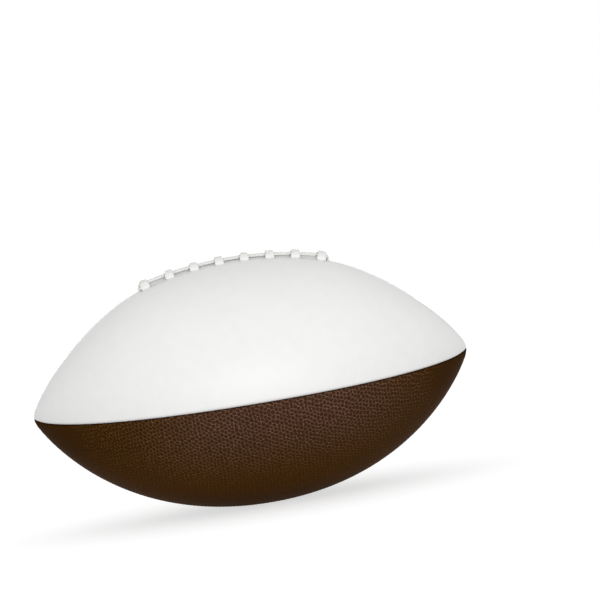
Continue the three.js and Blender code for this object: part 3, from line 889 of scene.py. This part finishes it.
def lace_stops():
    """Places where the lace turns, before it is laid on the ball, each with the way its width lies.

    The length of that vector is the share of its full width to which the lace is spread there.
    """

    def strand(y, first, last):
        """Stops of a strand along the slot, up through the hole at one end and down at the other."""
        xs = [lace_end, *cross_x[::-1], -lace_end]
        return [
            ((lace_end, y, -LACE_INSIDE), first),
            ((lace_end, y, -LACE_SQUARE), ACROSS),
            *[((x, y, strand_height), ACROSS) for x in xs],
            ((-lace_end, y, -LACE_SQUARE), ACROSS),
            ((-lace_end, y, -LACE_INSIDE), last),
        ]

    stops = [((lace_end - LACE_TAIL, -strand_across, -LACE_INSIDE), ACROSS)]
    stops += strand(-strand_across, ACROSS, SLANT)
    for x in cross_x:
        cover = swell(x, hole_row)
        stops += [
            ((x, -hole_row, -LACE_INSIDE), SLANT),
            ((x, -hole_row, -LACE_SQUARE), ALONG),
            ((x, -hole_row, cover + LACE_EDGE_HEIGHT), SPREAD_OUT),
            ((x, -deck_half, deck_height), PULLED_IN),
            ((x, 0, deck_height), PULLED_IN),
            ((x, deck_half, deck_height), PULLED_IN),
            ((x, hole_row, cover + LACE_EDGE_HEIGHT), SPREAD_OUT),
            ((x, hole_row, -LACE_SQUARE), ALONG),
            ((x, hole_row, -LACE_INSIDE), SLANT),
        ]
    stops += strand(strand_across, SLANT, ACROSS)
    stops.append(((LACE_TAIL - lace_end, strand_across, -LACE_INSIDE), ACROSS))
    return stops


def lace_line(stops):
    """The stops joined by straight runs and round bends, in small steps."""
    places = [np.array(place, float) for place, flat in stops]
    flats = [flat for place, flat in stops]
    line = [(places[0], flats[0])]
    for before, at, after, flat in zip(places, places[1:], places[2:], flats[1:]):
        corner = bend(before, at, after, LACE_BEND, BEND_SHARE, BEND_STEPS)
        line += [(point, flat) for point in corner]
    line.append((places[-1], flats[-1]))
    fine = [line[0]]
    for (start, flat), (end, next_flat) in zip(line, line[1:]):
        steps = max(1, int(np.linalg.norm(end - start) / LACE_STEP))
        for share in np.arange(1, steps + 1) / steps:
            fine.append((start + (end - start) * share, flat + (next_flat - flat) * share))
    return np.array([place for place, flat in fine]), np.array([flat for place, flat in fine])


def lace_mesh():
    """Points and faces of the lace, whose section follows the line and is then laid on the ball."""
    places, flats = lace_line(lace_stops())
    ahead = np.gradient(places, axis=0)
    ahead /= np.linalg.norm(ahead, axis=1)[:, None]
    up = np.cross(ahead, flats)
    up /= np.linalg.norm(up, axis=1)[:, None]
    wide = np.cross(up, ahead)
    wide *= np.linalg.norm(flats, axis=1)[:, None]
    section = lace_section(LACE_WIDTH, LACE_THICKNESS)[::-1]
    corners = places[:, None] + section[:, :1] * wide[:, None] + section[:, 1:] * up[:, None]
    marks = np.arange(len(section), dtype=float)
    rings = [(ring, marks) for ring in lay(corners)]
    return np.concatenate([ring for ring, marks in rings]), skin(rings)


# Extruded vinyl: white, soft-edged and satin, with a faint leather grain rolled into it.
LACE_GRAIN = 0.8
LACE_GRAIN_RELIEF = 0.05
extruded, tree, place = finish("extruded_white_vinyl")
rolled_grain = node(tree, "TexVoronoi", {"Vector": place, "Scale": repeat(LACE_GRAIN)})
bump = node(
    tree,
    "Bump",
    {"Height": rolled_grain.outputs["Distance"], "Distance": LACE_GRAIN_RELIEF * MM},
)
tint = node(
    tree,
    "Mix",
    {0: rolled_grain.outputs["Distance"], 6: linear("#e9e9e7"), 7: linear("#e0e0dd")},
    data_type="RGBA",
)
shader = node(
    tree,
    "BsdfPrincipled",
    {"Base Color": tint.outputs[2], "Roughness": 0.45, "IOR": 1.53, "Normal": bump.outputs["Normal"]},
)
node(tree, "OutputMaterial", {"Surface": shader.outputs["BSDF"]})
points, faces = lace_mesh()
piece("flat_vinyl_lace", points, faces, extruded, "lace_vinyl", "lace")

# Studio: a white floor that runs out of sight, a long low softbox in front of the ball and a weaker one
# behind it. Floor and surroundings look pure white, while the fill light that they give the ball is lower.
# A softbox is given by its degrees round from the ball's front, degrees above the horizon, and watts.
FILL = 0.66
FLOOR_GLOW = 0.62
FLOOR_SIDE = 60
SOFTBOX_WIDTH = 1.6
SOFTBOX_HEIGHT = 0.34
SOFTBOX_DISTANCE = 2.6
SOFTBOXES = {"front": (3, 3.5, 30), "rear": (183, 3.5, 15)}
SOFTBOX_UPRIGHT = (0, 0.01, 1)


def seen(tree):
    """1 for rays that show the studio itself, straight, mirrored or through glass, and 0 for its light."""
    path = node(tree, "LightPath")
    mirrored = {0: path.outputs["Is Camera Ray"], 1: path.outputs["Is Glossy Ray"]}
    either = node(tree, "Math", mirrored, operation="MAXIMUM")
    through = {0: either.outputs[0], 1: path.outputs["Is Transmission Ray"]}
    return node(tree, "Math", through, operation="MAXIMUM").outputs[0]


world = bpy.data.worlds.new("white_studio")
world.use_nodes = True
tree = world.node_tree
tree.nodes.clear()
strength = node(tree, "MapRange", {"Value": seen(tree), "To Min": FILL, "To Max": 1})
sky = node(tree, "Background", {"Color": (1, 1, 1, 1), "Strength": strength.outputs["Result"]})
node(tree, "OutputWorld", {"Surface": sky.outputs["Background"]})
bpy.context.scene.world = world

# Matt white paper: it keeps the ball's shadow, and glows just enough to read as white.
paper, tree, place = finish("matt_white_paper")
glow = node(tree, "Math", {0: seen(tree), 1: FLOOR_GLOW}, operation="MULTIPLY")
lit = node(tree, "BsdfDiffuse", {"Color": linear("#cccccc")})
white = node(tree, "Emission", {"Color": (1, 1, 1, 1), "Strength": glow.outputs[0]})
both = node(tree, "AddShader", {0: lit.outputs["BSDF"], 1: white.outputs["Emission"]})
node(tree, "OutputMaterial", {"Surface": both.outputs["Shader"]})
mesh = bpy.data.meshes.new("floor")
corners = [(-1, -1), (1, -1), (1, 1), (-1, 1)]
mesh.from_pydata([(x * FLOOR_SIDE / 2, y * FLOOR_SIDE / 2, 0) for x, y in corners], [], [(0, 1, 2, 3)])
mesh.materials.append(paper)
floor = bpy.data.objects.new("floor", mesh)
bpy.context.scene.collection.objects.link(floor)

ball_centre = np.array([0, 0, axis_height * MM])


def away(azimuth, elevation):
    """Direction from the ball, at degrees round from its front and above the horizon."""
    a = math.radians(azimuth)
    e = math.radians(elevation)
    return np.array([math.sin(a) * math.cos(e), -math.cos(a) * math.cos(e), math.sin(e)])


def aim(made, position, backward, upright):
    """Places an object with its -Z axis away from backward and its Y axis upright."""
    backward = backward / np.linalg.norm(backward)
    right = np.cross(upright, backward)
    right /= np.linalg.norm(right)
    axes = np.eye(4)
    axes[:3, :3] = np.stack([right, np.cross(backward, right), backward], 1)
    axes[:3, 3] = position
    made.matrix_world = Matrix(axes.tolist())


for name, (azimuth, elevation, watts) in SOFTBOXES.items():
    lamp = bpy.data.lights.new(f"softbox_{name}", "AREA")
    lamp.shape = "RECTANGLE"
    lamp.size = SOFTBOX_WIDTH
    lamp.size_y = SOFTBOX_HEIGHT
    lamp.energy = watts
    made = bpy.data.objects.new(f"softbox_{name}", lamp)
    bpy.context.scene.collection.objects.link(made)
    direction = away(azimuth, elevation)
    aim(made, ball_centre + direction * SOFTBOX_DISTANCE, direction, SOFTBOX_UPRIGHT)

# Camera: a long lens a little above the ball and to its left, rolled so that the ball's axis climbs to the
# right. It points a little past the ball, which so lies low and left of the picture's middle.
SENSOR_WIDTH = 36
PHOTO_SIDE = 600
BALL_IN_PHOTO = (251, 382.4)
PIXELS_PER_MM = 1.565
VIEW_AZIMUTH = -2.5
VIEW_ELEVATION = 3.56
VIEW_ROLL = 9.26
VIEW_DISTANCE = 2
pixels_away = PIXELS_PER_MM * VIEW_DISTANCE / MM
lens = bpy.data.cameras.new("camera")
lens.sensor_width = SENSOR_WIDTH
lens.lens = SENSOR_WIDTH * pixels_away / PHOTO_SIDE
camera = bpy.data.objects.new("camera", lens)
bpy.context.scene.collection.objects.link(camera)
backward = away(VIEW_AZIMUTH, VIEW_ELEVATION)
level = np.cross((0, 0, 1), backward)
level /= np.linalg.norm(level)
upright = np.cross(backward, level)
roll = math.radians(VIEW_ROLL)
image_right = math.cos(roll) * level - math.sin(roll) * upright
image_up = math.sin(roll) * level + math.cos(roll) * upright
beside = (BALL_IN_PHOTO[0] - PHOTO_SIDE / 2) / pixels_away
above = (PHOTO_SIDE / 2 - BALL_IN_PHOTO[1]) / pixels_away
aim(
    camera,
    ball_centre + backward * VIEW_DISTANCE,
    backward + beside * image_right + above * image_up,
    image_up,
)
bpy.context.scene.camera = camera
bpy.context.scene.view_settings.view_transform = "Standard"
